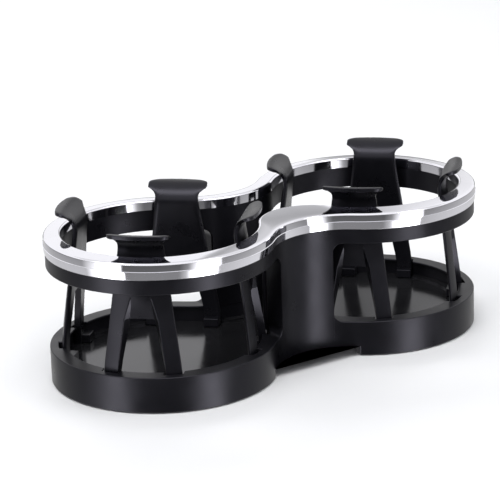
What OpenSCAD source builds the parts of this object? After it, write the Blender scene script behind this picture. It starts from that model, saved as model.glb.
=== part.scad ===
// Two-cup holder for a car dashboard: a peanut-shaped housing with open lobes,
// a chrome trim ring and four sprung clamp arms around each cup.
// The origin is at the middle of the underside, X runs along both cups and Z is up.

/* [Cups] */
// Distance between the axes of the two cups
cup_pitch = 110.5; // [106:0.5:124]
// Clearance from the long axis to the front wall at the waist
neck_front = 11.5; // [6:0.5:14]
// Clearance from the long axis to the back wall at the waist
neck_back = 20; // [15:0.5:21]

/* [Housing] */
// Outer radius of the housing wall around each cup
wall_r = 49.5; // [49:0.1:53]
// Half width of the waist, at the housing wall
waist_half = 27.6; // [26:0.2:31]
// Width of the upper band around each cup
band_w = 7.1; // [6.6:0.1:8]
// Thickness of the moulded skins
skin = 2.4; // [1.8:0.1:2.8]
// Height of the base skirt, up to its flat rim
rim_h = 16; // [15:0.5:20]
// Width of the flat rim
rim_w = 5; // [4.6:0.1:5.6]
// Height of the underside of the upper band
band_low = 52; // [48:0.5:54]
// Half width of the solid walls left at the waist
pillar_half = 14; // [12:0.5:18]
// Corner radius of the side windows
window_corner = 3.8; // [2:0.2:6]
// Half width of the tunnel under the waist
tunnel_half = 23; // [18:0.5:24]
// Height of the tunnel under the waist
tunnel_h = 4.3; // [3:0.1:4.8]

/* [Floor] */
// Height of the glossy floor that the cups stand on
floor_z = 8.5; // [8.2:0.1:10]
// Thickness of the floor plate
floor_t = 1; // [0.8:0.1:1.2]
// Height of the ledge around the floor
ledge_h = 0.8; // [0.4:0.1:1.2]
// Width of the ledge around the floor
ledge_w = 4; // [3:0.5:5]
// Thickness of the deck under the floor plate
deck_t = 1.2; // [0.8:0.1:1.4]

/* [Trim ring] */
// Distance that the top edge of the trim ring stands out from the housing wall
trim_out = 0.5; // [0.3:0.1:1]
// Height of the outer top edge of the trim ring
trim_top = 65.8; // [63:0.2:68]
// Height of the outer flange
trim_flange = 7.3; // [6:0.1:8]
// Height of the upper side band
trim_band = 3.7; // [2.4:0.1:4.5]
// Height of the inner lip below the outer top edge
trim_lip = 4.2; // [3:0.1:5]
// Thickness of the trim moulding
trim_t = 1.6; // [1.2:0.1:1.8]
// Step between the upper and the lower side band
trim_step = 0.3; // [0.1:0.05:0.5]

/* [Arms] */
// Distance of the outer side of the legs from the outer face of the housing, at the rim
leg_inset = 5; // [4.6:0.1:5.6]
// Lean of the arms towards the cup axis, per millimetre of height
arm_lean = 0.15; // [0.12:0.01:0.17]
// Thickness of the legs along their outer edges
leg_t = 1.4; // [1.2:0.1:1.6]
// Thickness of the neck, in the middle of an arm
neck_t = 3.1; // [2.6:0.1:3.6]
// Thickness of the flared lip
lip_t = 2.4; // [2:0.1:2.8]
// Half width across both feet
foot_half = 16.8; // [16:0.1:17.4]
// Half width of the gap between the feet
foot_gap = 9.8; // [9.4:0.1:10.6]
// Half width of the neck
neck_half = 9.6; // [8:0.1:10.5]
// Half width of the lip
lip_half = 13.2; // [11:0.1:14]
// Distance that the lip curls outward from the neck
lip_reach = 7.8; // [7.8:0.2:8.6]
// Height of the lip tip
lip_top = 75.6; // [74.6:0.2:77]
// Height of the lower edge of the web between the legs
web_low = 38; // [34:0.5:42]
// Height at which the web starts to sink below the legs
web_high = 47.5; // [45:0.5:50]
// Thickness of the web at its lower edge
web_t = 1.5; // [1.2:0.1:2]
// Height of the toe on each foot
toe_h = 4; // [3:0.2:5]
// Length of the toe on each foot
toe_l = 3.8; // [3:0.2:4.2]

/* [Pivots] */
// Distance of the pivot line from the outer side of the legs
pivot_inset = 2.5; // [2.1:0.1:2.9]
// Height of the pivot line
pivot_z = 4.3; // [4.2:0.05:4.4]
// Radius of the pivot pin
pin_r = 1; // [0.8:0.05:1.1]
// Running clearance of an arm on its pin
pin_gap = 0.06; // [0.03:0.01:0.1]
// Radius of the knuckle at the end of each leg
knuckle_r = 2; // [1.8:0.05:2.1]
// Clearance between an arm and the walls of its slots
slot_gap = 0.4; // [0.3:0.05:0.6]
// Thickness of the lugs that carry the pin
lug_t = 1.8; // [1.4:0.1:2]
// Half width of the clamp notch in the band and the ring
notch_half = 12.4; // [11.5:0.1:13]
// Wall left outside the clamp notch
notch_wall = 1.3; // [1.1:0.1:1.5]

/* [Springs] */
// Radius of the spring wire
wire_r = 0.3; // [0.25:0.05:0.35]
// Mean radius of the spring coil
coil_r = 1.45; // [1.45:0.05:1.5]
// Number of turns in a coil
coil_turns = 4; // [3:1:6]
// Length of the spring leg that bears on the deck
spring_leg = 5.5; // [4:0.5:6]

/* [Base covers] */
// Thickness of each base cover
cover_t = 1.2; // [1:0.1:1.3]
// Thickness of the rubber pads
pad_t = 0.9; // [0.7:0.1:1]
// Distance of the rubber pads from the outer face of the housing
pad_inset = 5.5; // [4:0.5:9]
// Width of the rubber pads
pad_w = 15; // [10:1:17]
// Radius of the screws from each cup axis
screw_circle = 23; // [18:1:24]
// Radius of a screw head
screw_head_r = 2.2; // [1.8:0.1:2.6]
// Radius of a screw shank
screw_r = 1; // [0.8:0.1:1.2]
// Radius of the bosses that the screws bite into
boss_r = 3.2; // [2.6:0.1:3.6]

/* [Hidden] */

$fn = 96;
// Small overlap of cutters past the faces that they cut
cut = 0.5;
// Clearance between parts that are assembled face beside face
fit = 0.3;
half = cup_pitch / 2;
opening_r = wall_r - band_w;
trim_r = wall_r + trim_out;
leg_r = wall_r - leg_inset;
pivot_r = leg_r - pivot_inset;
pad_out = wall_r - pad_inset;
pad_in = pad_out - pad_w;
// Directions of the four arms around a cup
ARM_ANGLES = [45, 135, 225, 315];

skirt_low = 0.4;
deck_top = floor_z - floor_t;
deck_low = deck_top - deck_t;
tub_r = wall_r - rim_w;
trim_low = trim_top - trim_flange;
trim_plate = trim_top - trim_t;
seat_low = trim_top - trim_lip;
upstand_r = trim_r - trim_t - fit;
notch_r = wall_r - notch_wall;
cover_z = pad_t;
cover_top = cover_z + cover_t;
cover_edge = tunnel_half + skin + fit;
lug_low = cover_top + fit;
slot_in = foot_gap - slot_gap;
slot_out = foot_half + slot_gap;
// The coil ends close beside the foot
coil_pitch = 2.4 * wire_r;
coil_start = foot_gap - slot_gap - wire_r - coil_pitch * (coil_turns + 0.125);
// Radius of the outer face of an arm at a height
function arm_out(z) = leg_r - arm_lean * (z - rim_h);
// Radius of the lip's edge, and the lip's radius and lowest height on its hollow side
lip_r = arm_out(lip_top - lip_t) + lip_reach;
curl_r = lip_reach / (1 + arm_lean);
curl_z = lip_top - lip_t - curl_r;
// Distances of the flat inner face of an arm from the cup axis, at the lip and at the rim
neck_in = arm_out(curl_z) - neck_t;
foot_in = sqrt(leg_r * leg_r - foot_half * foot_half) - leg_t;

// Distance from the long axis to the centre of the waist arc that meets two circles
// of radius r and leaves the clearance n at the waist
function waist_y(r, n) = (half * half - (r - n) * (r - n)) / (2 * (r - n));

// Plan of two discs of radius r joined by a waist, with the given clearances from the long axis;
// the waist arcs bite slightly into the discs, so that both curves cross at one clean point
module peanut_plan(r, front, back) {
    yf = waist_y(r, front);
    yb = waist_y(r, back);
    bite = 0.002;
    for (side = [-1, 1])
        translate([side * half, 0]) circle(r);
    difference() {
        polygon([[-half, 0], [0, -yf], [half, 0], [0, yb]]);
        translate([0, -yf]) circle(yf - front + bite);
        translate([0, yb]) circle(yb - back + bite);
    }
}

// Plan parallel to the housing wall, and plans parallel to the edges of the opening and of the tub
module wall_plan(r) { peanut_plan(r, waist_half - wall_r + r, waist_half - wall_r + r); }
module opening_plan(gap) { peanut_plan(opening_r + gap, neck_front + gap, neck_back + gap); }
module tub_plan(gap) { peanut_plan(tub_r + gap, neck_front + gap, neck_back + gap); }

// Layer between the heights z0 and z1: the first plan without the others
module layer(z0, z1) {
    translate([0, 0, z0])
        linear_extrude(z1 - z0)
            difference() {
                children(0);
                if ($children > 1) children([1 : $children - 1]);
            }
}

// Places children at one arm: X points outward from the cup axis and Y along the cup wall
module at_arm(side, angle) {
    translate([side * half, 0, 0]) rotate([0, 0, angle]) children();
}

module at_every_arm() {
    for (side = [-1, 1])
        for (angle = ARM_ANGLES)
            at_arm(side, angle) children();
}

// Block that runs from x0 to x1 and z0 to z1, between y0 and y1 on both sides of the middle
module twin_block(x0, x1, y0, y1, z0, z1) {
    for (s = [0, 1])
        mirror([0, s, 0]) translate([x0, y0, z0]) cube([x1 - x0, y1 - y0, z1 - z0]);
}

// Points of an arc around a centre, from angle a0 to a1
function arc(cx, cy, r, a0, a1, n) = [for (i = [0 : n]) let (a = a0 + (a1 - a0) * i / n)
    [cx + r * cos(a), cy + r * sin(a)]];

// Fillets in the corners that the windows make with one side of the waist walls
module window_corners(side) {
    q = window_corner;
    x = side * pillar_half;
    rotate([90, 0, 0])
        linear_extrude(4 * wall_r, center = true)
            for (corner = [[rim_h, 1], [band_low, -1]])
                difference() {
                    polygon([[x, corner[0]], [x + side * q, corner[0]], [x, corner[0] + corner[1] * q]]);
                    translate([x + side * q, corner[0] + corner[1] * q]) circle(q);
                }
}

// Space that a clamp arm swings in, inside the band or the ring
module notch(r, low, high) {
    intersection() {
        translate([opening_r / 2, -notch_half, low]) cube([wall_r, 2 * notch_half, high - low]);
        translate([0, 0, low - 1]) cylinder(r = r, h = high - low + 2);
    }
}

// Slots in the deck, tub wall and rim for the two legs of one arm; they go on up as grooves
// in the inner corners of the waist walls, so that the arms beside them can swing out
module leg_slots() {
    intersection() {
        twin_block(foot_in - 0.8, wall_r, slot_in, slot_out, deck_low - cut, band_low - cut);
        cylinder(r = notch_r, h = band_low);
    }
}

// Lugs that hang from the deck and hold the pivot pin
module lugs() {
    for (y = [coil_start - wire_r - lug_t - slot_gap, slot_out])
        twin_block(pivot_r - knuckle_r, pivot_r + knuckle_r, y, y + lug_t, lug_low, deck_low + cut);
}

module pin_bore(r, reach) {
    translate([pivot_r, reach, pivot_z]) rotate([90, 0, 0]) cylinder(r = r, h = 2 * reach);
}

module screw_places(side) {
    for (angle = [0 : 90 : 270])
        translate([side * half, 0, 0]) rotate([0, 0, angle]) translate([screw_circle, 0, 0]) children();
}

// Hollow inside of the front waist wall, closed by the trim ring
module pocket_plan() {
    wall = skin + 0.8;
    translate([-pillar_half + skin, -waist_half + wall])
        square([2 * (pillar_half - skin), waist_half - neck_front - 2 * wall]);
}

// The housing is moulded in one piece; it is built here in level layers
module housing_layers() {
    cavity_r = wall_r - skin;
    seat = trim_t + fit;
    layer(skirt_low, tunnel_h) {
        wall_plan(wall_r);
        wall_plan(cavity_r);
        square([2 * tunnel_half, 4 * waist_half], center = true);
    }
    layer(tunnel_h, deck_low) {
        wall_plan(wall_r);
        wall_plan(cavity_r);
    }
    layer(deck_low, deck_top) wall_plan(wall_r);
    layer(deck_top, rim_h) {
        wall_plan(wall_r);
        tub_plan(0);
    }
    // walls at the front and the back of the waist
    intersection() {
        union() {
            translate([0, 0, (rim_h + band_low) / 2])
                cube([2 * pillar_half, 4 * waist_half, band_low - rim_h], center = true);
            for (side = [-1, 1])
                window_corners(side);
        }
        layer(rim_h, band_low) {
            wall_plan(wall_r);
            opening_plan(0);
            pocket_plan();
        }
    }
    layer(band_low, trim_low) {
        wall_plan(wall_r);
        opening_plan(0);
        pocket_plan();
    }
    // upstand that the trim ring sits over, with a seat for the ring's inner lip
    layer(trim_low, seat_low) {
        wall_plan(upstand_r);
        opening_plan(0);
        pocket_plan();
    }
    layer(seat_low, trim_plate) {
        wall_plan(upstand_r);
        opening_plan(seat);
        pocket_plan();
    }
}

module housing() {
    color([0.06, 0.06, 0.065])
        difference() {
            union() {
                housing_layers();
                at_every_arm() lugs();
                for (side = [-1, 1])
                    screw_places(side)
                        translate([0, 0, lug_low]) cylinder(r = boss_r, h = deck_low - lug_low + cut);
            }
            at_every_arm() {
                notch(notch_r, band_low - 1, trim_top + 1);
                leg_slots();
                pin_bore(pin_r, slot_out + lug_t);
            }
            for (side = [-1, 1])
                screw_places(side)
                    cylinder(r = screw_r, h = deck_low);
        }
}

module trim_ring() {
    edge = 0.6;
    color([0.85, 0.86, 0.88])
        difference() {
            union() {
                // lower and upper side band
                layer(trim_low, trim_top - trim_band) {
                    wall_plan(trim_r);
                    wall_plan(trim_r - trim_t);
                }
                layer(trim_top - trim_band, trim_top - edge) {
                    wall_plan(trim_r + trim_step);
                    wall_plan(trim_r - trim_t);
                }
                // top plate and inner lip
                layer(trim_plate, trim_top) {
                    wall_plan(trim_r - edge);
                    opening_plan(0);
                }
                layer(seat_low, trim_plate) {
                    opening_plan(trim_t);
                    opening_plan(0);
                }
            }
            at_every_arm() notch(notch_r, seat_low - 1, trim_top + 5);
        }
}

module floor_plate() {
    color([0.16, 0.16, 0.17])
        difference() {
            union() {
                layer(deck_top, floor_z) tub_plan(-fit);
                layer(floor_z, floor_z + ledge_h) {
                    tub_plan(-fit);
                    tub_plan(-ledge_w);
                }
            }
            at_every_arm() {
                leg_slots();
                // the ledge stops on both sides of the arm
                translate([tub_r - 2 * ledge_w, -slot_out, floor_z])
                    cube([3 * ledge_w, 2 * slot_out, 2 * ledge_h]);
            }
        }
}

// Section through the rounded outer side of an arm: a leaning leg and a lip that curls outward
module outer_section() {
    polygon(concat(
        [[leg_r / 2, pivot_z], [leg_r, pivot_z], [leg_r, rim_h]],
        arc(lip_r, curl_z, curl_r, 180, 90, 8),
        [[lip_r, lip_top + 1], [leg_r / 2, lip_top + 1]]
    ));
}

// Side profile of an arm, with its flat inner face and the round top of the lip
module inner_profile() {
    round_r = lip_top - curl_z;
    polygon(concat(
        [[wall_r, lip_top]],
        arc(neck_in + round_r, curl_z, round_r, 90, 180, 10),
        [[foot_in, rim_h + 2], [foot_in, pivot_z], [wall_r, pivot_z]]
    ));
}

// Front outline of an arm: a wide lip, a narrow neck and a body that widens to the feet
module arm_outline() {
    flare = lip_half - neck_half;
    shoulder = lip_top - lip_t - flare - 0.5;
    right = concat(
        [[foot_half, pivot_z], [foot_half, rim_h - 1], [neck_half, curl_z - 0.7]],
        arc(lip_half, shoulder, flare, 180, 100, 5),
        [[lip_half, lip_top - lip_t + 0.2], [lip_half, lip_top + 2]]
    );
    left = [for (i = [len(right) - 1 : -1 : 0]) [-right[i][0], right[i][1]]];
    polygon(concat(right, left));
}

// Prism through an arm from the inside to the outside, from a plan of width and height
module through_arm() {
    rotate([90, 0, 90]) linear_extrude(wall_r + 5) children();
}

module arm() {
    apex = 4;
    gap_web = foot_gap - (foot_gap - apex) * (web_low - rim_h) / (web_high - rim_h);
    color([0.07, 0.07, 0.075])
        difference() {
            union() {
                intersection() {
                    rotate_extrude() outer_section();
                    through_arm() arm_outline();
                    rotate([90, 0, 0]) linear_extrude(wall_r, center = true) inner_profile();
                }
                // toes that rest on the floor
                twin_block(foot_in - toe_l, foot_in + cut, foot_gap, foot_half, floor_z + fit, floor_z + toe_h);
                for (s = [0, 1])
                    mirror([0, s, 0])
                        translate([pivot_r, foot_half, pivot_z])
                            rotate([90, 0, 0]) cylinder(r = knuckle_r, h = foot_half - foot_gap);
            }
            // gap between the legs
            through_arm()
                polygon([[-foot_gap, 0], [-foot_gap, rim_h - 1], [-gap_web, web_low], [gap_web, web_low],
                    [foot_gap, rim_h - 1], [foot_gap, 0]]);
            // sunk face of the web
            intersection() {
                through_arm()
                    polygon([[-gap_web, web_low - 1], [-apex, web_high], [apex, web_high], [gap_web, web_low - 1]]);
                rotate([90, 0, 0])
                    linear_extrude(wall_r, center = true)
                        polygon([[arm_out(web_high), web_high], [wall_r, web_high], [wall_r, web_low - 1],
                            [foot_in + web_t, web_low - 1]]);
            }
            pin_bore(pin_r + pin_gap, wall_r);
            // hole for the end of the spring
            translate([pivot_r + coil_r, foot_gap + 1.8, pivot_z + coil_r])
                rotate([90, 0, 0]) cylinder(r = wire_r + 0.1, h = 1.8 + cut);
        }
}

// Wire swept along a path of points, each with the direction that the wire takes there
module wire(path, headings) {
    sides = 6;
    n = len(path);
    rings = [for (i = [0 : n - 1])
        let (t = headings[i] / norm(headings[i]),
            up = abs(t[1]) > 0.9 ? [1, 0, 0] : [0, 1, 0],
            a = cross(t, up) / norm(cross(t, up)),
            b = cross(t, a))
        for (k = [0 : sides - 1])
            path[i] + wire_r * (cos(360 * k / sides) * a + sin(360 * k / sides) * b)];
    walls = [for (i = [0 : n - 2]) for (k = [0 : sides - 1])
        let (m = (k + 1) % sides)
        [i * sides + k, i * sides + m, (i + 1) * sides + m, (i + 1) * sides + k]];
    ends = [[for (k = [sides - 1 : -1 : 0]) k], [for (k = [0 : sides - 1]) (n - 1) * sides + k]];
    polyhedron(points = rings, faces = concat(walls, ends), convexity = 4);
}

// Torsion spring around the pin: one leg bears on the deck, the other is hooked into the foot
module spring() {
    steps = 8;
    count = coil_turns * steps + 1;
    angles = [for (i = [0 : count]) 90 - 360 * i / steps];
    coil = [for (i = [0 : count])
        [pivot_r + coil_r * cos(angles[i]), coil_start + coil_pitch * i / steps, pivot_z + coil_r * sin(angles[i])]];
    coil_dir = [for (a = angles) [sin(a), 0.1, -cos(a)]];
    last = coil[count];
    hook = [[pivot_r + coil_r, last[1] + wire_r, pivot_z + coil_r], [pivot_r + coil_r, foot_gap + 1.4, pivot_z + coil_r]];
    color([0.6, 0.6, 0.62])
        wire(
            concat([coil[0] - [spring_leg, 0, 0]], coil, hook),
            concat([[1, 0, 0]], coil_dir, [[0.3, 1, 0.3], [0, 1, 0]])
        );
}

module pivot_pins() {
    color([0.62, 0.62, 0.64])
        at_every_arm() pin_bore(pin_r, slot_out + lug_t);
}

module base_cover(side) {
    gap = skin + fit;
    color([0.05, 0.05, 0.05])
        difference() {
            intersection() {
                layer(cover_z, cover_top) wall_plan(wall_r - gap);
                translate([side * (cover_edge + wall_r * 1.5), 0, 0])
                    cube([wall_r * 3, 4 * wall_r, 4 * cover_top], center = true);
            }
            screw_places(side) cylinder(r = screw_r + 0.2, h = 10);
        }
}

module pad(side) {
    color([0.03, 0.03, 0.03])
        difference() {
            translate([side * half, 0, 0]) cylinder(r = pad_out, h = pad_t);
            translate([side * half, 0, -1]) cylinder(r = pad_in, h = pad_t + 2);
            translate([side * (cover_edge + 1 - wall_r), 0, 0])
                cube([2 * wall_r, 4 * wall_r, 4 * pad_t], center = true);
        }
}

module cover_screws() {
    head_h = 0.7;
    color([0.5, 0.5, 0.52])
        for (side = [-1, 1])
            screw_places(side)
                difference() {
                    union() {
                        translate([0, 0, cover_z - head_h]) cylinder(r = screw_head_r, h = head_h);
                        translate([0, 0, cover_z - head_h / 2]) cylinder(r = screw_r, h = deck_low - cover_z - head_h);
                    }
                    // cross recess
                    for (turn = [0, 90])
                        rotate([0, 0, turn])
                            translate([0, 0, cover_z - head_h])
                                cube([screw_head_r, screw_head_r / 5, head_h], center = true);
                }
}

housing();
trim_ring();
floor_plate();
at_arm(-1, 45) arm();  // left_arm_back_inner
at_arm(-1, 135) arm();  // left_arm_back_outer
at_arm(-1, 225) arm();  // left_arm_front_outer
at_arm(-1, 315) arm();  // left_arm_front_inner
at_arm(1, 45) arm();  // right_arm_back_outer
at_arm(1, 135) arm();  // right_arm_back_inner
at_arm(1, 225) arm();  // right_arm_front_inner
at_arm(1, 315) arm();  // right_arm_front_outer
at_arm(-1, 45) spring();  // left_spring_back_inner
at_arm(-1, 135) spring();  // left_spring_back_outer
at_arm(-1, 225) spring();  // left_spring_front_outer
at_arm(-1, 315) spring();  // left_spring_front_inner
at_arm(1, 45) spring();  // right_spring_back_outer
at_arm(1, 135) spring();  // right_spring_back_inner
at_arm(1, 225) spring();  // right_spring_front_inner
at_arm(1, 315) spring();  // right_spring_front_outer
pivot_pins();
base_cover(-1);  // left_base_cover
base_cover(1);  // right_base_cover
pad(-1);  // left_pad
pad(1);  // right_pad
cover_screws();
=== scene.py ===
import math

import bmesh
import bpy
from mathutils import Matrix, Vector


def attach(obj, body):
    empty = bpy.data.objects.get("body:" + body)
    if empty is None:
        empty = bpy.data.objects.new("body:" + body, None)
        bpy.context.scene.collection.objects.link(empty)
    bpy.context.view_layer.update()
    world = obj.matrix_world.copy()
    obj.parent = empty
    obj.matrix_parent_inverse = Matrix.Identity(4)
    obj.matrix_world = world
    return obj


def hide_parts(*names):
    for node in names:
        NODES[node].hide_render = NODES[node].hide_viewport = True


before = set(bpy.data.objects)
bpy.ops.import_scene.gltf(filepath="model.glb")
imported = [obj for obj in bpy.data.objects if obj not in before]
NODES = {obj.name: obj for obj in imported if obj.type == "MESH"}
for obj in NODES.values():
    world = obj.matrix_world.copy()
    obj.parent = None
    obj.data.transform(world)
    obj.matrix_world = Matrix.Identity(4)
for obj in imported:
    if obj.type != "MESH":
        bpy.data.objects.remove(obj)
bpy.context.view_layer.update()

# A two-cup holder: detailed meshes for housing, deck, trim ring and arms, each in the place of
# its CAD node, better materials on the other nodes, and the studio of the photo.

MM = 0.001

# The object's main sizes in millimetres, the same as in the CAD
HALF = 55.25                    # from the middle to the axis of a cup
WALL_R = 49.5                   # outer radius of the wall round a cup
WAIST_HALF = 27.6
# Openings: radius round a cup, then distance of the front and back edge from the long axis
OPENING = (42.4, 11.5, 20.0)
TUB = (44.5, 11.5, 20.0)        # the hollow from the deck up to the rim
RIM_Z, RIM_T = 16.0, 1.0
BAND_Z = 52.0
TRIM_Z = 58.5
SLOT_R = 45.7                   # where the slots of the legs end
SLOT_IN, SLOT_OUT = 9.4, 17.2   # sides of a slot, from the middle of its arm
PIVOT_R = 42.0                  # the pins, from the cup's axis
# Side of each arm's cup, and the arm's direction from the cup's axis in degrees
ARMS = {
    "left_arm_back_inner": (-1, 45), "left_arm_back_outer": (-1, 135),
    "left_arm_front_outer": (-1, 225), "left_arm_front_inner": (-1, 315),
    "right_arm_back_outer": (1, 45), "right_arm_back_inner": (1, 135),
    "right_arm_front_inner": (1, 225), "right_arm_front_outer": (1, 315),
}


# Plan curves

LOBE, WAIST = 104, 18           # points of a curve round one cup and on half a waist


def waist_arc(r, clearance):
    """Distance of the waist arc's centre from the long axis, and the arc's radius."""
    y = (HALF ** 2 - (r - clearance) ** 2) / (2 * (r - clearance))
    return y, y - clearance


def peanut(r, front, back):
    """Closed plan curve round both cups, counter-clockwise from the middle of the front waist."""
    yf, rf = waist_arc(r, front)
    yb, rb = waist_arc(r, back)
    af, ab = math.atan2(yf, HALF), math.atan2(yb, HALF)
    quarter, turn = math.pi / 2, math.pi
    arcs = [
        (0, -yf, rf, quarter, af, WAIST),
        (HALF, 0, r, af - turn, turn - ab, LOBE),
        (0, yb, rb, -ab, ab - turn, 2 * WAIST),
        (-HALF, 0, r, ab, 2 * turn - af, LOBE),
        (0, -yf, rf, turn - af, quarter, WAIST),
    ]
    points = []
    for cx, cy, radius, a0, a1, n in arcs:
        for i in range(n):
            a = a0 + (a1 - a0) * i / n
            points.append((cx + radius * math.cos(a), cy + radius * math.sin(a)))
    return points


def wall(r):
    """Plan curve parallel to the housing wall."""
    clearance = WAIST_HALF - WALL_R + r
    return peanut(r, clearance, clearance)


def inset(plan, gap):
    """Plan curve parallel to the edge of the opening or of the tub."""
    return peanut(plan[0] + gap, plan[1] + gap, plan[2] + gap)


def between(a, b, t):
    return [((1 - t) * p[0] + t * q[0], (1 - t) * p[1] + t * q[1]) for p, q in zip(a, b)]


# Mesh helpers

def loft(bm, rings, closed=True):
    """Joins closed rings of points; a closed loft also joins the last ring to the first."""
    rows = [[bm.verts.new(p) for p in ring] for ring in rings]
    count = len(rows)
    for i in range(count if closed else count - 1):
        a, b = rows[i], rows[(i + 1) % count]
        n = len(a)
        for j in range(n):
            k = (j + 1) % n
            bm.faces.new((a[j], a[k], b[k], b[j]))
    return rows


def level(curve, z):
    return [(x, y, z) for x, y in curve]


def prism(bm, outline, place):
    """Closed prism between two copies of an outline; place(point, end) gives each corner."""
    ends = [[bm.verts.new(place(p, end)) for p in outline] for end in (0, 1)]
    bm.faces.new(ends[0])
    bm.faces.new(ends[1])
    for j in range(len(outline)):
        k = (j + 1) % len(outline)
        bm.faces.new((ends[0][j], ends[0][k], ends[1][k], ends[1][j]))


def block(bm, x0, x1, y0, y1, z0, z1, turn=None):
    corners = [(x0, y0), (x1, y0), (x1, y1), (x0, y1)]
    first = len(bm.verts)
    prism(bm, corners, lambda p, end: (p[0], p[1], z1 if end else z0))
    if turn is not None:
        bm.verts.ensure_lookup_table()
        bmesh.ops.transform(bm, matrix=turn, verts=bm.verts[first:])


def at_arm(side, angle):
    """Frame of one arm: X outward from the cup axis, Y along the cup wall."""
    return Matrix.Translation((side * HALF, 0, 0)) @ Matrix.Rotation(math.radians(angle), 4, "Z")


def to_object(bm, name):
    bmesh.ops.recalc_face_normals(bm, faces=bm.faces)
    mesh = bpy.data.meshes.new(name)
    bm.to_mesh(mesh)
    bm.free()
    obj = bpy.data.objects.new(name, mesh)
    bpy.context.scene.collection.objects.link(obj)
    return obj


def cut(obj, cutters):
    """Subtracts each cutter from the object's mesh."""
    for cutter in cutters:
        step = obj.modifiers.new("cut", "BOOLEAN")
        step.operation = "DIFFERENCE"
        step.solver = "EXACT"
        step.object = cutter
    graph = bpy.context.evaluated_depsgraph_get()
    mesh = bpy.data.meshes.new_from_object(obj.evaluated_get(graph))
    obj.modifiers.clear()
    old, obj.data = obj.data, mesh
    bpy.data.meshes.remove(old)
    for cutter in cutters:
        bpy.data.objects.remove(cutter)


MERGE_AT, TINY_EDGE = 0.004, 0.002
BEVEL_ANGLE, BEVEL_SEGMENTS = math.radians(40), 3
# Weighted normals: 50 weighs each face by its area, and more favours the large faces
NORMALS_WEIGHT, ARM_NORMALS_WEIGHT = 60, 50


def weigh_normals(obj, weight):
    step = obj.modifiers.new("normals", "WEIGHTED_NORMAL")
    step.keep_sharp = True
    step.weight = weight


def finish_mesh(obj, bevel=0.0, keep=None, smooth=32):
    """Rounds the sharp convex edges by a bevel, shades the mesh and turns it to metres.

    Only edges for which keep(edge) is true are rounded, and the shading is smooth over edges
    that bend by less than smooth degrees.
    """
    bm = bmesh.new()
    bm.from_mesh(obj.data)
    bmesh.ops.remove_doubles(bm, verts=bm.verts, dist=MERGE_AT)
    bmesh.ops.dissolve_degenerate(bm, dist=TINY_EDGE, edges=bm.edges)
    if bevel:
        edges = [
            e for e in bm.edges
            if e.is_manifold and e.is_convex and e.calc_face_angle(0) > BEVEL_ANGLE
            and (keep is None or keep(e))
        ]
        bmesh.ops.bevel(
            bm, geom=edges, offset=bevel, offset_type="OFFSET", segments=BEVEL_SEGMENTS,
            profile=0.5, affect="EDGES", clamp_overlap=False,
        )
    for face in bm.faces:
        face.smooth = True
    for edge in bm.edges:
        edge.smooth = edge.is_manifold and edge.calc_face_angle(0) < math.radians(smooth)
    bmesh.ops.scale(bm, vec=(MM, MM, MM), verts=bm.verts)
    bm.to_mesh(obj.data)
    bm.free()
    weigh_normals(obj, NORMALS_WEIGHT)


# Materials

SMUDGE = 0.012                  # size of the soft patches, in metres
GRAIN_DEPTH = 0.00005
NOISE_LOW, NOISE_HIGH = 0.3, 0.7


def material(name, base, rough, metallic=0.0, rough_spread=0.05, grain=0.0, grain_size=0.0004,
             mottle=0.12, specular=0.5, tint=(1.0, 1.0, 1.0)):
    """Procedural finish: colour and roughness vary softly, and a fine grain lifts the surface."""
    mat = bpy.data.materials.new(name)
    mat.use_nodes = True
    nodes, links = mat.node_tree.nodes, mat.node_tree.links
    shader = nodes["Principled BSDF"]
    shader.inputs["Metallic"].default_value = metallic
    shader.inputs["Specular IOR Level"].default_value = specular
    shader.inputs["Specular Tint"].default_value = (*tint, 1)
    where = nodes.new("ShaderNodeTexCoord")

    soft = nodes.new("ShaderNodeTexNoise")
    soft.inputs["Scale"].default_value = 1 / SMUDGE
    soft.inputs["Detail"].default_value = 4
    links.new(where.outputs["Object"], soft.inputs["Vector"])

    colour = nodes.new("ShaderNodeValToRGB")
    dark, light = colour.color_ramp.elements
    dark.position, light.position = NOISE_LOW, NOISE_HIGH
    dark.color = (*[c * (1 - mottle) for c in base], 1)
    light.color = (*[min(1, c * (1 + mottle)) for c in base], 1)
    links.new(soft.outputs["Fac"], colour.inputs["Fac"])
    links.new(colour.outputs["Color"], shader.inputs["Base Color"])

    gloss = nodes.new("ShaderNodeMapRange")
    gloss.inputs["From Min"].default_value = NOISE_LOW
    gloss.inputs["From Max"].default_value = NOISE_HIGH
    gloss.inputs["To Min"].default_value = max(0.0, rough - rough_spread)
    gloss.inputs["To Max"].default_value = rough + rough_spread
    links.new(soft.outputs["Fac"], gloss.inputs["Value"])
    links.new(gloss.outputs["Result"], shader.inputs["Roughness"])

    if grain:
        fine = nodes.new("ShaderNodeTexNoise")
        fine.inputs["Scale"].default_value = 1 / grain_size
        fine.inputs["Detail"].default_value = 3
        links.new(where.outputs["Object"], fine.inputs["Vector"])
        bump = nodes.new("ShaderNodeBump")
        bump.inputs["Strength"].default_value = grain
        bump.inputs["Distance"].default_value = GRAIN_DEPTH
        links.new(fine.outputs["Fac"], bump.inputs["Height"])
        links.new(bump.outputs["Normal"], shader.inputs["Normal"])
    return mat


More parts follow.
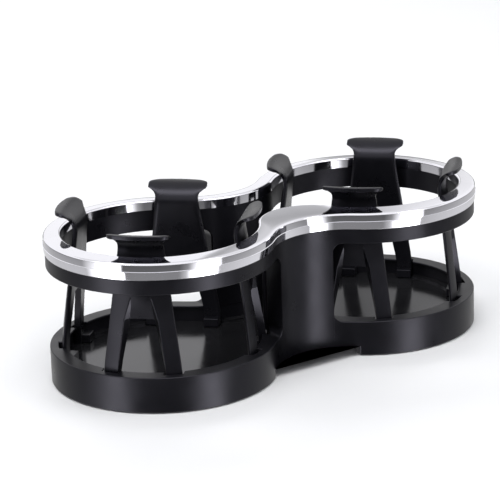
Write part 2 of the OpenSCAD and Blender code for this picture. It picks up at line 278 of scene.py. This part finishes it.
COOL = (0.87, 0.85, 1.0)        # tint of the plastics' highlights
MOULDED_BLACK = (0.0042, 0.0042, 0.0056)
SATIN = material("satin_black_plastic", MOULDED_BLACK, 0.32, grain=0.3, grain_size=0.0005,
                 specular=0.32, tint=COOL)
ARM = material("arm_black_plastic", MOULDED_BLACK, 0.30, grain=0.25, grain_size=0.0005,
               specular=0.34, tint=COOL)
GLOSS = material("gloss_black_plastic", (0.010, 0.010, 0.011), 0.14, rough_spread=0.03,
                 grain=0.08, grain_size=0.002, tint=COOL)
CHROME = material("plated_chrome", (0.91, 0.905, 0.965), 0.07, metallic=1.0,
                  rough_spread=0.02, mottle=0.02)
STEEL = material("plain_steel", (0.42, 0.42, 0.44), 0.28, metallic=1.0,
                 grain=0.2, grain_size=0.0003)
RUBBER = material("pad_rubber", (0.018, 0.018, 0.018), 0.75, grain=0.8, grain_size=0.0003)


def dress(obj, mat, body="base", stands_for=()):
    obj.data.materials.clear()
    obj.data.materials.append(mat)
    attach(obj, body)
    if stands_for:
        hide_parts(*stands_for)


# Housing

FOOT_Z = 0.4                    # lower edge of the housing
DECK_LOW, DECK_TOP = 6.3, 7.5
DECK_R, SKIRT_IN = 48.0, 47.1   # the deck's edge runs into the skirt's wall
# The collar that the trim ring sits on: wall radius, distance from the opening, and top
COLLAR_R, COLLAR_GAP, COLLAR_TOP = 48.1, 1.9, 64.0
SEAT_Z = 61.6                   # the ledge round the opening, under the ring's inner lip
EDGE_R = 0.45                   # rounding of the moulding's edges
SEAM = 0.1                      # edges less than this below the trim ring stay sharp
CUT_REACH = 70                  # cutters go this far to the front and to the back
TUNNEL_HALF, TUNNEL_LOW, TUNNEL_TOP = 23, -2, 4.3
SLOT_START, SLOT_LOW = 36, 2
# The rim's slots go on up the corners of the waist walls as grooves
RIM_SLOTS_TOP, DECK_SLOTS_TOP = 51.5, 20
# Lugs of the pivot pins: inner sides from the middle of the arm, thickness, half length, levels
LUGS_AT, LUG_T, LUG_HALF = (3.6, SLOT_OUT), 1.8, 2
LUG_LOW, LUG_TOP = 2.4, 6.6


def window_outline(side, r=3.8, steps=8, edge=14.0, reach=130.0):
    """Outline of one cup's window in X and Z: its two corners at the waist are round."""
    points = [(side * reach, RIM_Z)]
    for cz, a0 in ((RIM_Z + r, -90), (BAND_Z - r, 180)):
        for i in range(steps + 1):
            a = math.radians(a0 - 90 * i / steps)
            points.append((side * (edge + r + r * math.cos(a)), cz + r * math.sin(a)))
    points.append((side * reach, BAND_Z))
    return points


def slot_outline(y0, y1, r=SLOT_R, steps=12):
    """Plan of a straight slot that ends on a circle round the cup axis."""
    a0, a1 = math.asin(y0 / r), math.asin(y1 / r)
    angles = [a0 + (a1 - a0) * i / steps for i in range(steps + 1)]
    arc = [(r * math.cos(a), r * math.sin(a)) for a in angles]
    return [(SLOT_START, y0)] + arc + [(SLOT_START, y1)]


def leg_slots(name, top):
    """Cutter for the slots of all arms' legs, up to a height."""
    bm = bmesh.new()
    for side, angle in ARMS.values():
        turn = at_arm(side, angle)
        for y0, y1 in ((-SLOT_OUT, -SLOT_IN), (SLOT_IN, SLOT_OUT)):
            prism(bm, slot_outline(y0, y1),
                  lambda p, end: turn @ Vector((*p, top if end else SLOT_LOW)))
    return to_object(bm, name)


def make_housing():
    """The moulding's walls: skirt, rim, waist walls and band, open at the windows."""
    bm = bmesh.new()
    loft(bm, [
        level(wall(WALL_R), FOOT_Z), level(wall(WALL_R), TRIM_Z),
        level(wall(COLLAR_R), TRIM_Z), level(wall(COLLAR_R), COLLAR_TOP),
        level(inset(OPENING, COLLAR_GAP), COLLAR_TOP), level(inset(OPENING, COLLAR_GAP), SEAT_Z),
        level(inset(OPENING, 0), SEAT_Z), level(inset(OPENING, 0), RIM_Z - RIM_T),
        level(inset(TUB, 0), RIM_Z - RIM_T), level(inset(TUB, 0), DECK_TOP),
        level(wall(SKIRT_IN), DECK_LOW), level(wall(SKIRT_IN), FOOT_Z),
    ])
    shell = to_object(bm, "housing_shell")

    def through(p, end):
        return p[0], CUT_REACH if end else -CUT_REACH, p[1]

    bm = bmesh.new()
    for side in (-1, 1):
        prism(bm, window_outline(side), through)
    # the tunnel under the waist
    prism(bm, [(-TUNNEL_HALF, TUNNEL_LOW), (TUNNEL_HALF, TUNNEL_LOW),
               (TUNNEL_HALF, TUNNEL_TOP), (-TUNNEL_HALF, TUNNEL_TOP)], through)
    windows = to_object(bm, "cut_windows")
    cut(shell, [windows, leg_slots("cut_slots", RIM_SLOTS_TOP)])

    def below_trim(edge):
        return max(v.co.z for v in edge.verts) < TRIM_Z - SEAM
    finish_mesh(shell, EDGE_R, keep=below_trim)
    dress(shell, SATIN, stands_for=["housing"])


def make_deck():
    """The deck under the floor, with the lugs that hold the pivot pins."""
    bm = bmesh.new()
    plan = wall(DECK_R)
    rows = loft(bm, [level(plan, DECK_LOW), level(plan, DECK_TOP)], closed=False)
    for row in rows:
        bm.faces.new(row)
    deck = to_object(bm, "housing_deck")
    cut(deck, [leg_slots("cut_deck", DECK_SLOTS_TOP)])
    bm = bmesh.new()
    bm.from_mesh(deck.data)
    for side, angle in ARMS.values():
        turn = at_arm(side, angle)
        for y in LUGS_AT:
            for s in (-1, 1):
                lo, hi = sorted((s * y, s * (y + LUG_T)))
                block(bm, PIVOT_R - LUG_HALF, PIVOT_R + LUG_HALF, lo, hi, LUG_LOW, LUG_TOP, turn)
    bm.to_mesh(deck.data)
    bm.free()
    finish_mesh(deck)
    dress(deck, SATIN)


# Trim ring

RING_TOP, RING_SLOPE = 65.45, 0.09
RING_OUT, RING_IN_GAP = 49.55, 1.2      # where the ring's top starts and ends
# The hollow that takes the collar: wall radius, distance from the opening, and top
HOLLOW_R, HOLLOW_GAP, HOLLOW_TOP = 48.4, 1.6, 64.2
# Outer side from its foot up, in two steps: wall radius and height
SIDE_ROWS = [
    (49.7, TRIM_Z), (49.85, 58.7), (50.3, 61.9), (50.3, 62.1), (50.05, 62.25),
    (49.95, 64.8), (49.8, 65.2),
]
# The top: share of the way from its outer to its inner edge, and rounding added there
CROWN_ROWS = [(0.0, 0.0), (0.03, 0.12), (0.08, 0.2), (0.2, 0.25), (0.5, 0.25), (1.0, 0.2)]
# The round inner edge: distance from the opening, and drop from the top
INNER_ROWS = [(0.82, 0.07), (0.5, 0.2), (0.24, 0.4), (0.07, 0.66), (0.0, 1.0)]


def crown(outer, inner, t, edge):
    """Row of the ring's top, which rises towards the openings."""
    return [
        (x, y, RING_TOP + RING_SLOPE * t * math.dist(p, q) + edge)
        for (x, y), p, q in zip(between(outer, inner, t), outer, inner)
    ]


def make_ring():
    outer, inner = wall(RING_OUT), inset(OPENING, RING_IN_GAP)
    top = [crown(outer, inner, t, edge) for t, edge in CROWN_ROWS]
    heights = [z for _, _, z in top[-1]]
    for gap, drop in INNER_ROWS:
        top.append([(x, y, z - drop) for (x, y), z in zip(inset(OPENING, gap), heights)])
    bm = bmesh.new()
    loft(bm, [
        level(wall(HOLLOW_R), TRIM_Z), *[level(wall(r), z) for r, z in SIDE_ROWS], *top,
        level(inset(OPENING, 0), SEAT_Z), level(inset(OPENING, HOLLOW_GAP), SEAT_Z),
        level(inset(OPENING, HOLLOW_GAP), HOLLOW_TOP), level(wall(HOLLOW_R), HOLLOW_TOP),
    ])
    ring = to_object(bm, "trim_moulding")
    finish_mesh(ring, smooth=24)
    dress(ring, CHROME, stands_for=["trim_ring"])


# Arms

LEG_R, LEAN = 44.5, 0.15                # outer radius at the rim, and how much it falls per mm
NECK_IN, FOOT_IN = 33.8, 39.8           # flat inner face, from the cup's axis
LEAN_FROM = RIM_Z + 2                   # the inner face leans inwards from here up
LIP_R, LIP_TOP, LIP_T = 44.2, 75.6, 1.9
FOOT_HALF, NECK_HALF, LIP_HALF = 16.8, 9.6, 13.3
FLARE_R = 3.7                           # the round hollow between neck and lip
FLARE_LOW = LIP_TOP - LIP_T - FLARE_R - 0.6
WEB_LOW, WEB_HIGH = 38.0, 47.5
# Half width between the legs: at the rim, and at the web's high end
GAP_FOOT, GAP_WEB = 9.8, 4.0
# How much that grows at the outer face: at the rim, and at the web's low and high end
SPREAD_FOOT, SPREAD_LOW, SPREAD_HIGH = 0.6, 1.5, 0.4


def arm_out(z):
    return LEG_R - LEAN * (z - RIM_Z)


# The web's sunk face, from the cup's axis, at its low and high end
SUNK_LOW, SUNK_HIGH = FOOT_IN - 1.2, arm_out(WEB_HIGH) - 0.3
SUNK_LEAST = 0.05                       # its least depth under the outer face
SUNK_DRAFT = 0.1                        # how far its sides lie on the way to the outer edges
# The lip's outer face is an arc round a centre at LIP_R and this height
CURL_R = (LIP_R - arm_out(LIP_TOP - LIP_T)) / (1 + LEAN)
CURL_Z = LIP_TOP - LIP_T - CURL_R
# Heights of an arm's rows below the curl of its lip
ROW_HEIGHTS = [
    2.6, 4.3, 8, 12, RIM_Z - 1, 20, 26, 32, WEB_LOW, 41, 44, WEB_HIGH,
    50, 54, 58, 62, CURL_Z - 0.7,
]
CURL_ROWS, CURL_PACKING = 14, 1.5       # above 1, rows lie closer together towards the lip's edge
SIDE_COLS, MID_COLS = 8, 6
SIDE_ANGLES = (0, 25, 50, 70, 90)       # places of the columns on a rounded side
CORNER = 3.2                            # radius of the lip's corners in plan
SIDE_ROUND = 2.2                        # width of the rounding at the sides of the inner face
ROUND_DEPTH, ROUND_SHARE = 1.5, 0.6     # its greatest depth, in mm and of the arm's thickness
CORNER_DROP, EDGE_DROP = 0.3, 0.15      # how far the lip falls at its corners and at its edge
EDGE_SOFT = 0.25                        # rounding of an arm's sharp edges
# Toes that rest on the floor: reach inwards and outwards from the foot, sides and levels
TOE_REACH, TOE_ROOT = 3.8, 0.4
TOE_IN, TOE_OUT, TOE_LOW, TOE_TOP = 10.0, 16.6, 8.8, 12.5


def lerp(x, x0, x1, y0, y1):
    return y0 + (y1 - y0) * (x - x0) / (x1 - x0)


def half_width(z):
    """Half width of an arm: straight sides, then a flare with a round hollow to the lip."""
    if z <= RIM_Z:
        return FOOT_HALF
    if z <= FLARE_LOW:
        return lerp(z, RIM_Z, FLARE_LOW, FOOT_HALF, NECK_HALF)
    if z <= FLARE_LOW + FLARE_R:
        return LIP_HALF - math.sqrt(max(0.0, FLARE_R ** 2 - (z - FLARE_LOW) ** 2))
    return LIP_HALF


def gap_half(z, face):
    """Half width of the gap between the legs on the outer (face 1) or the inner (face 0) side."""
    z = max(z, RIM_Z)
    mid = lerp(z, RIM_Z, WEB_HIGH, GAP_FOOT, GAP_WEB)
    if z < WEB_LOW:
        spread = lerp(z, RIM_Z, WEB_LOW, SPREAD_FOOT, SPREAD_LOW)
    else:
        spread = lerp(z, WEB_LOW, WEB_HIGH, SPREAD_LOW, SPREAD_HIGH)
    return mid + (spread if face else -0.5 * spread)


def arm_rows():
    """Rows up an arm: outer height and radius, inner distance and height, place on the curl."""
    rows = []
    for z in ROW_HEIGHTS:
        inner = FOOT_IN if z < LEAN_FROM else lerp(z, LEAN_FROM, CURL_Z, FOOT_IN, NECK_IN)
        rows.append((z, arm_out(max(z, RIM_Z)), inner, z, 0.0))
    round_r = LIP_TOP - CURL_Z
    reach = LIP_R - (NECK_IN + round_r)
    for i in range(1, CURL_ROWS + 1):
        t = 1 - (1 - i / CURL_ROWS) ** CURL_PACKING
        a = math.radians(180 - 90 * t)
        rows.append((
            CURL_Z + CURL_R * math.sin(a), LIP_R + CURL_R * math.cos(a),
            NECK_IN + round_r + round_r * math.cos(a) + reach * t ** 2,
            CURL_Z + round_r * math.sin(a), t,
        ))
    return rows


def corner_width(w, x):
    """Half width near the lip's edge, where the corners are round in plan."""
    over = (x - (LIP_R - CORNER)) / CORNER
    return w if over <= 0 else w - CORNER * (1 - math.sqrt(max(0.0, 1 - over ** 2)))


def column_places(w, g):
    """Places across an arm from one side to the other, closer together on the rounded sides."""
    flat = w - SIDE_ROUND
    steps = SIDE_COLS - len(SIDE_ANGLES) + 1
    sides = [w - SIDE_ROUND * (1 - math.cos(math.radians(a))) for a in SIDE_ANGLES]
    sides += [flat - (flat - g) * k / steps for k in range(1, steps + 1)]
    middle = [-g + 2 * g * k / MID_COLS for k in range(1, MID_COLS)]
    return [-y for y in sides] + middle + sides[::-1]


def arm_point(row, face, index):
    """Corner of an arm's grid on the flat inner face (0) or on the round outer face (1)."""
    z_out, r_out, x_in, z_in, t = row
    z = z_out if face else z_in
    w = half_width(z)
    if t:
        w = corner_width(w, r_out if face else min(x_in, r_out))
    g = gap_half(min(z, WEB_HIGH), face)
    if z > WEB_HIGH:
        g = w * gap_half(WEB_HIGH, face) / half_width(WEB_HIGH)
    y = column_places(w, g)[index]
    outer = math.sqrt(r_out ** 2 - y ** 2)
    if face:
        return outer, y, z
    # the inner face is flat, turns to the wall's curve along the lip, and is round at its sides
    flat = x_in - t ** 2 * (LIP_R - math.sqrt(LIP_R ** 2 - y ** 2))
    over = max(0.0, (abs(y) - (w - SIDE_ROUND)) / SIDE_ROUND)
    thick = math.sqrt(r_out ** 2 - w ** 2) - x_in
    depth = max(0.0, min(ROUND_DEPTH, ROUND_SHARE * thick) * (1 - t) ** 2)
    drop = CORNER_DROP * t * over ** 2 + EDGE_DROP * t ** 8
    return flat + depth * (1 - math.sqrt(max(0.0, 1 - over ** 2))), y, z - drop


def make_arm_mesh():
    """One clamp arm in its own frame: two legs joined by a sunk web, a neck and a flared lip."""
    bm = bmesh.new()
    rows = arm_rows()
    cols = 2 * SIDE_COLS + MID_COLS + 1
    left, right = SIDE_COLS, SIDE_COLS + MID_COLS
    last = len(rows) - 1
    low, high = ROW_HEIGHTS.index(WEB_LOW), ROW_HEIGHTS.index(WEB_HIGH)
    grid = {
        (i, j, face): bm.verts.new(arm_point(row, face, j))
        for i, row in enumerate(rows) for j in range(cols) for face in (0, 1)
    }

    def quad(*corners):
        bm.faces.new(list(dict.fromkeys(corners)))

    # the sunk face of the web has its own points between the legs
    sunk = {}
    for i in range(low, high + 1):
        z = ROW_HEIGHTS[i]
        depth = lerp(z, WEB_LOW, WEB_HIGH, SUNK_LOW, SUNK_HIGH)
        for j in range(left, right + 1):
            inner, outer = grid[i, j, 0].co, grid[i, j, 1].co
            sunk[i, j] = grid[i, j, 1] if i == high else bm.verts.new(
                (min(depth, outer.x - SUNK_LEAST),
                 inner.y * (1 - SUNK_DRAFT) + outer.y * SUNK_DRAFT, z))

    for i in range(last):
        for j in range(cols - 1):
            middle = left <= j < right
            if middle and i < low:
                continue
            places = [(i, j), (i, j + 1), (i + 1, j + 1), (i + 1, j)]
            on_web = middle and i < high
            quad(*[grid[r, c, 0] for r, c in places])
            quad(*[sunk[r, c] if on_web else grid[r, c, 1] for r, c in places])
        for j in (0, cols - 1):
            quad(grid[i, j, 0], grid[i, j, 1], grid[i + 1, j, 1], grid[i + 1, j, 0])
        for j in (left, right):
            if i < low:
                quad(grid[i, j, 0], grid[i, j, 1], grid[i + 1, j, 1], grid[i + 1, j, 0])
            elif i < high:
                quad(sunk[i, j], grid[i, j, 1], grid[i + 1, j, 1], sunk[i + 1, j])
    for j in range(cols - 1):
        quad(grid[last, j, 0], grid[last, j + 1, 0], grid[last, j + 1, 1], grid[last, j, 1])
        if left <= j < right:
            quad(grid[low, j, 0], grid[low, j + 1, 0], sunk[low, j + 1], sunk[low, j])
        else:
            quad(grid[0, j, 0], grid[0, j + 1, 0], grid[0, j + 1, 1], grid[0, j, 1])
    # the sides of the web's lower edge, between the sunk face and the legs
    for j in (left, right):
        quad(grid[low, j, 0], grid[low, j, 1], sunk[low, j])

    for s in (-1, 1):
        lo, hi = sorted((s * TOE_IN, s * TOE_OUT))
        block(bm, FOOT_IN - TOE_REACH, FOOT_IN + TOE_ROOT, lo, hi, TOE_LOW, TOE_TOP)
    arm = to_object(bm, "arm_master")
    finish_mesh(arm, EDGE_SOFT, smooth=29)
    mesh = arm.data
    bpy.data.objects.remove(arm)
    return mesh


def make_arms():
    mesh = make_arm_mesh()
    for name, (side, angle) in ARMS.items():
        arm = bpy.data.objects.new(name + "_moulding", mesh.copy())
        bpy.context.scene.collection.objects.link(arm)
        turn = at_arm(side, angle)
        turn.translation *= MM
        arm.matrix_world = turn
        weigh_normals(arm, ARM_NORMALS_WEIGHT)
        dress(arm, ARM, body=name, stands_for=[name])


# Small CAD nodes that keep their shape

def finish_node(name, mat):
    node = NODES[name]
    node.data.materials.clear()
    node.data.materials.append(mat)
    for face in node.data.polygons:
        face.use_smooth = False


# Stage

# The camera that was fitted to the photo: angles in degrees, focal length in the photo's pixels
# and place in metres
CAMERA_AZIMUTH, CAMERA_HEIGHT, CAMERA_ROLL = -34.21, 17.44, -1.77
CAMERA_AT = (-0.53073, -0.76768, 0.33818)
FOCAL, PHOTO_WIDTH = 2203.96, 500
SENSOR = 36

# Soft lamps, which reflections don't see: place, target, width and height in metres, and power
LAMPS = {
    "key": ((-0.5, -0.4, 1.1), (0, 0, 0.03), 0.9, 0.6, 10),
    "fill": ((0.7, -0.8, 0.8), (0, 0, 0.03), 0.8, 0.6, 4),
    "back": ((0.3, 0.9, 0.8), (0, 0, 0.05), 1.0, 0.5, 6),
}

FLOOR_HALF = 4000
BELT_R, BELT_STEPS = 1500, 96
BELT_LOW, PANELS_TOP, SKY_TOP, BELT_TOP = -1400, 180, 1500, 3400
FADE_FROM = -900                # a belt's light changes evenly from here up, or from its low edge
BELT_TURN = math.radians(235.8)  # the camera's direction, where the angles below are 0
# Brightness of the studio panels against the angle from the camera, in degrees
PANELS = [
    (-180, 0.50), (-120, 0.30), (-77, 0.26), (-63, 0.9), (-55, 2.6), (-38, 2.6), (-36, 0.10),
    (18, 0.10), (26, 0.25), (34, 1.0), (41, 2.9), (57, 2.9), (60, 0.22), (110, 0.35),
    (150, 0.40), (180, 0.50),
]
# The same for the belt above them, which the top of the ring mirrors
SKY = [
    (-180, 1.0), (160, 1.0), (168, 0.85), (173, 0.6), (175.5, 0.4), (177.0, 0.45),
    (178.6, 1.0), (180, 1.0),
]
# And for the highest belt, a long soft box over the camera, which draws the light lines on
# round edges
TOP = [(-180, 0.8), (-95, 0.8), (-70, 5.0), (70, 5.0), (95, 0.8), (180, 0.8)]


def ramp(nodes, stops):
    node = nodes.new("ShaderNodeValToRGB")
    elements = node.color_ramp.elements
    while len(elements) > 1:
        elements.remove(elements[-1])
    for i, (position, value) in enumerate(stops):
        element = elements[0] if i == 0 else elements.new(position)
        element.position = position
        element.color = (value, value, value, 1)
    return node


def maths(nodes, links, operation, *values):
    """Output of a maths node whose inputs are numbers or outputs of other nodes."""
    node = nodes.new("ShaderNodeMath")
    node.operation = operation
    for socket, value in zip(node.inputs, values):
        if isinstance(value, (int, float)):
            socket.default_value = value
        else:
            links.new(value, socket)
    return node.outputs[0]


def make_belt(name, stops, low, high, at_low=1.0, at_high=1.0):
    """A belt of soft boxes and grey panels round the object, which only reflections see."""
    bm = bmesh.new()
    angles = [2 * math.pi * i / BELT_STEPS for i in range(BELT_STEPS)]
    ring = [(BELT_R * math.cos(a), BELT_R * math.sin(a)) for a in angles]
    loft(bm, [level(ring, low), level(ring, high)], closed=False)
    belt = to_object(bm, name)
    belt.scale = (MM, MM, MM)
    belt.rotation_euler = (0, 0, BELT_TURN)
    belt.visible_camera = belt.visible_diffuse = belt.visible_shadow = False
    belt.visible_transmission = belt.visible_volume_scatter = False
    mat = bpy.data.materials.new(name + "_light")
    mat.use_nodes = True
    nodes, links = mat.node_tree.nodes, mat.node_tree.links
    nodes.clear()
    out = nodes.new("ShaderNodeOutputMaterial")
    glow = nodes.new("ShaderNodeEmission")
    where = nodes.new("ShaderNodeTexCoord")
    split = nodes.new("ShaderNodeSeparateXYZ")
    links.new(where.outputs["Object"], split.inputs["Vector"])
    turn = maths(nodes, links, "ARCTAN2", split.outputs["Y"], split.outputs["X"])
    turn = maths(nodes, links, "MULTIPLY_ADD", turn, 1 / (2 * math.pi), 0.5)
    top = max(value for _, value in stops)
    bright = ramp(nodes, [(a / 360 + 0.5, value / top) for a, value in stops])
    links.new(turn, bright.inputs["Fac"])
    fade = nodes.new("ShaderNodeMapRange")
    fade.inputs["From Min"].default_value = max(low, FADE_FROM)
    fade.inputs["From Max"].default_value = high
    fade.inputs["To Min"].default_value = at_low
    fade.inputs["To Max"].default_value = at_high
    links.new(split.outputs["Z"], fade.inputs["Value"])
    strength = maths(nodes, links, "MULTIPLY", bright.outputs["Color"], fade.outputs["Result"])
    strength = maths(nodes, links, "MULTIPLY", strength, top)
    links.new(strength, glow.inputs["Strength"])
    links.new(glow.outputs["Emission"], out.inputs["Surface"])
    belt.data.materials.append(mat)


def make_floor():
    bm = bmesh.new()
    bmesh.ops.create_grid(bm, x_segments=1, y_segments=1, size=FLOOR_HALF)
    floor = to_object(bm, "studio_floor")
    floor.scale = (MM, MM, MM)
    floor.visible_glossy = False
    mat = bpy.data.materials.new("pale_floor")
    mat.use_nodes = True
    shader = mat.node_tree.nodes["Principled BSDF"]
    shader.inputs["Base Color"].default_value = (0.80, 0.80, 0.81, 1)
    shader.inputs["Roughness"].default_value = 0.7
    shader.inputs["Specular IOR Level"].default_value = 0.1
    floor.data.materials.append(mat)


def make_world():
    """White where it is seen or mirrored, and a weaker, cooler light on everything else."""
    world = bpy.data.worlds.new("studio")
    bpy.context.scene.world = world
    world.use_nodes = True
    nodes, links = world.node_tree.nodes, world.node_tree.links
    nodes.clear()
    out = nodes.new("ShaderNodeOutputWorld")
    mix = nodes.new("ShaderNodeMixShader")
    light = nodes.new("ShaderNodeBackground")
    white = nodes.new("ShaderNodeBackground")
    path = nodes.new("ShaderNodeLightPath")
    light.inputs["Color"].default_value = (0.95, 0.97, 1, 1)
    light.inputs["Strength"].default_value = 0.55
    white.inputs["Color"].default_value = (1, 1, 1, 1)
    white.inputs["Strength"].default_value = 1
    seen = maths(nodes, links, "MAXIMUM",
                 path.outputs["Is Camera Ray"], path.outputs["Is Glossy Ray"])
    seen = maths(nodes, links, "MAXIMUM", seen, path.outputs["Is Transmission Ray"])
    links.new(seen, mix.inputs["Fac"])
    links.new(light.outputs["Background"], mix.inputs[1])
    links.new(white.outputs["Background"], mix.inputs[2])
    links.new(mix.outputs["Shader"], out.inputs["Surface"])


def make_lamp(name, place, target, width, height, power):
    data = bpy.data.lights.new(name, "AREA")
    data.shape = "RECTANGLE"
    data.size, data.size_y = width, height
    data.energy = power
    obj = bpy.data.objects.new(name, data)
    obj.location = place
    obj.rotation_euler = (Vector(target) - Vector(place)).to_track_quat("-Z", "Y").to_euler()
    obj.visible_camera = False
    obj.visible_glossy = False
    bpy.context.scene.collection.objects.link(obj)


def make_camera():
    a, e = math.radians(CAMERA_AZIMUTH), math.radians(CAMERA_HEIGHT)
    roll = math.radians(CAMERA_ROLL)
    back = Vector((math.sin(a) * math.cos(e), -math.cos(a) * math.cos(e), math.sin(e)))
    right = Vector((math.cos(a), math.sin(a), 0))
    up = back.cross(right)
    x = right * math.cos(roll) + up * math.sin(roll)
    y = up * math.cos(roll) - right * math.sin(roll)
    data = bpy.data.cameras.new("camera")
    data.sensor_width = SENSOR
    data.lens = FOCAL / PHOTO_WIDTH * SENSOR
    camera = bpy.data.objects.new("camera", data)
    rows = [(x[k], y[k], back[k], CAMERA_AT[k]) for k in range(3)]
    camera.matrix_world = Matrix((*rows, (0, 0, 0, 1)))
    bpy.context.scene.collection.objects.link(camera)
    bpy.context.scene.camera = camera


make_camera()
make_floor()
make_world()
make_belt("studio_panels", PANELS, BELT_LOW, PANELS_TOP, at_low=2.4, at_high=0.5)
make_belt("studio_sky", SKY, PANELS_TOP, SKY_TOP)
make_belt("studio_top", TOP, SKY_TOP, BELT_TOP)
for name, values in LAMPS.items():
    make_lamp(name, *values)

make_housing()
make_deck()
make_ring()
make_arms()
finish_node("floor_plate", GLOSS)
for side in ("left", "right"):
    finish_node(side + "_base_cover", SATIN)
    finish_node(side + "_pad", RUBBER)
finish_node("pivot_pins", STEEL)
finish_node("cover_screws", STEEL)
for name in NODES:
    if "spring" in name:
        finish_node(name, STEEL)

bpy.context.scene.view_settings.view_transform = "Standard"
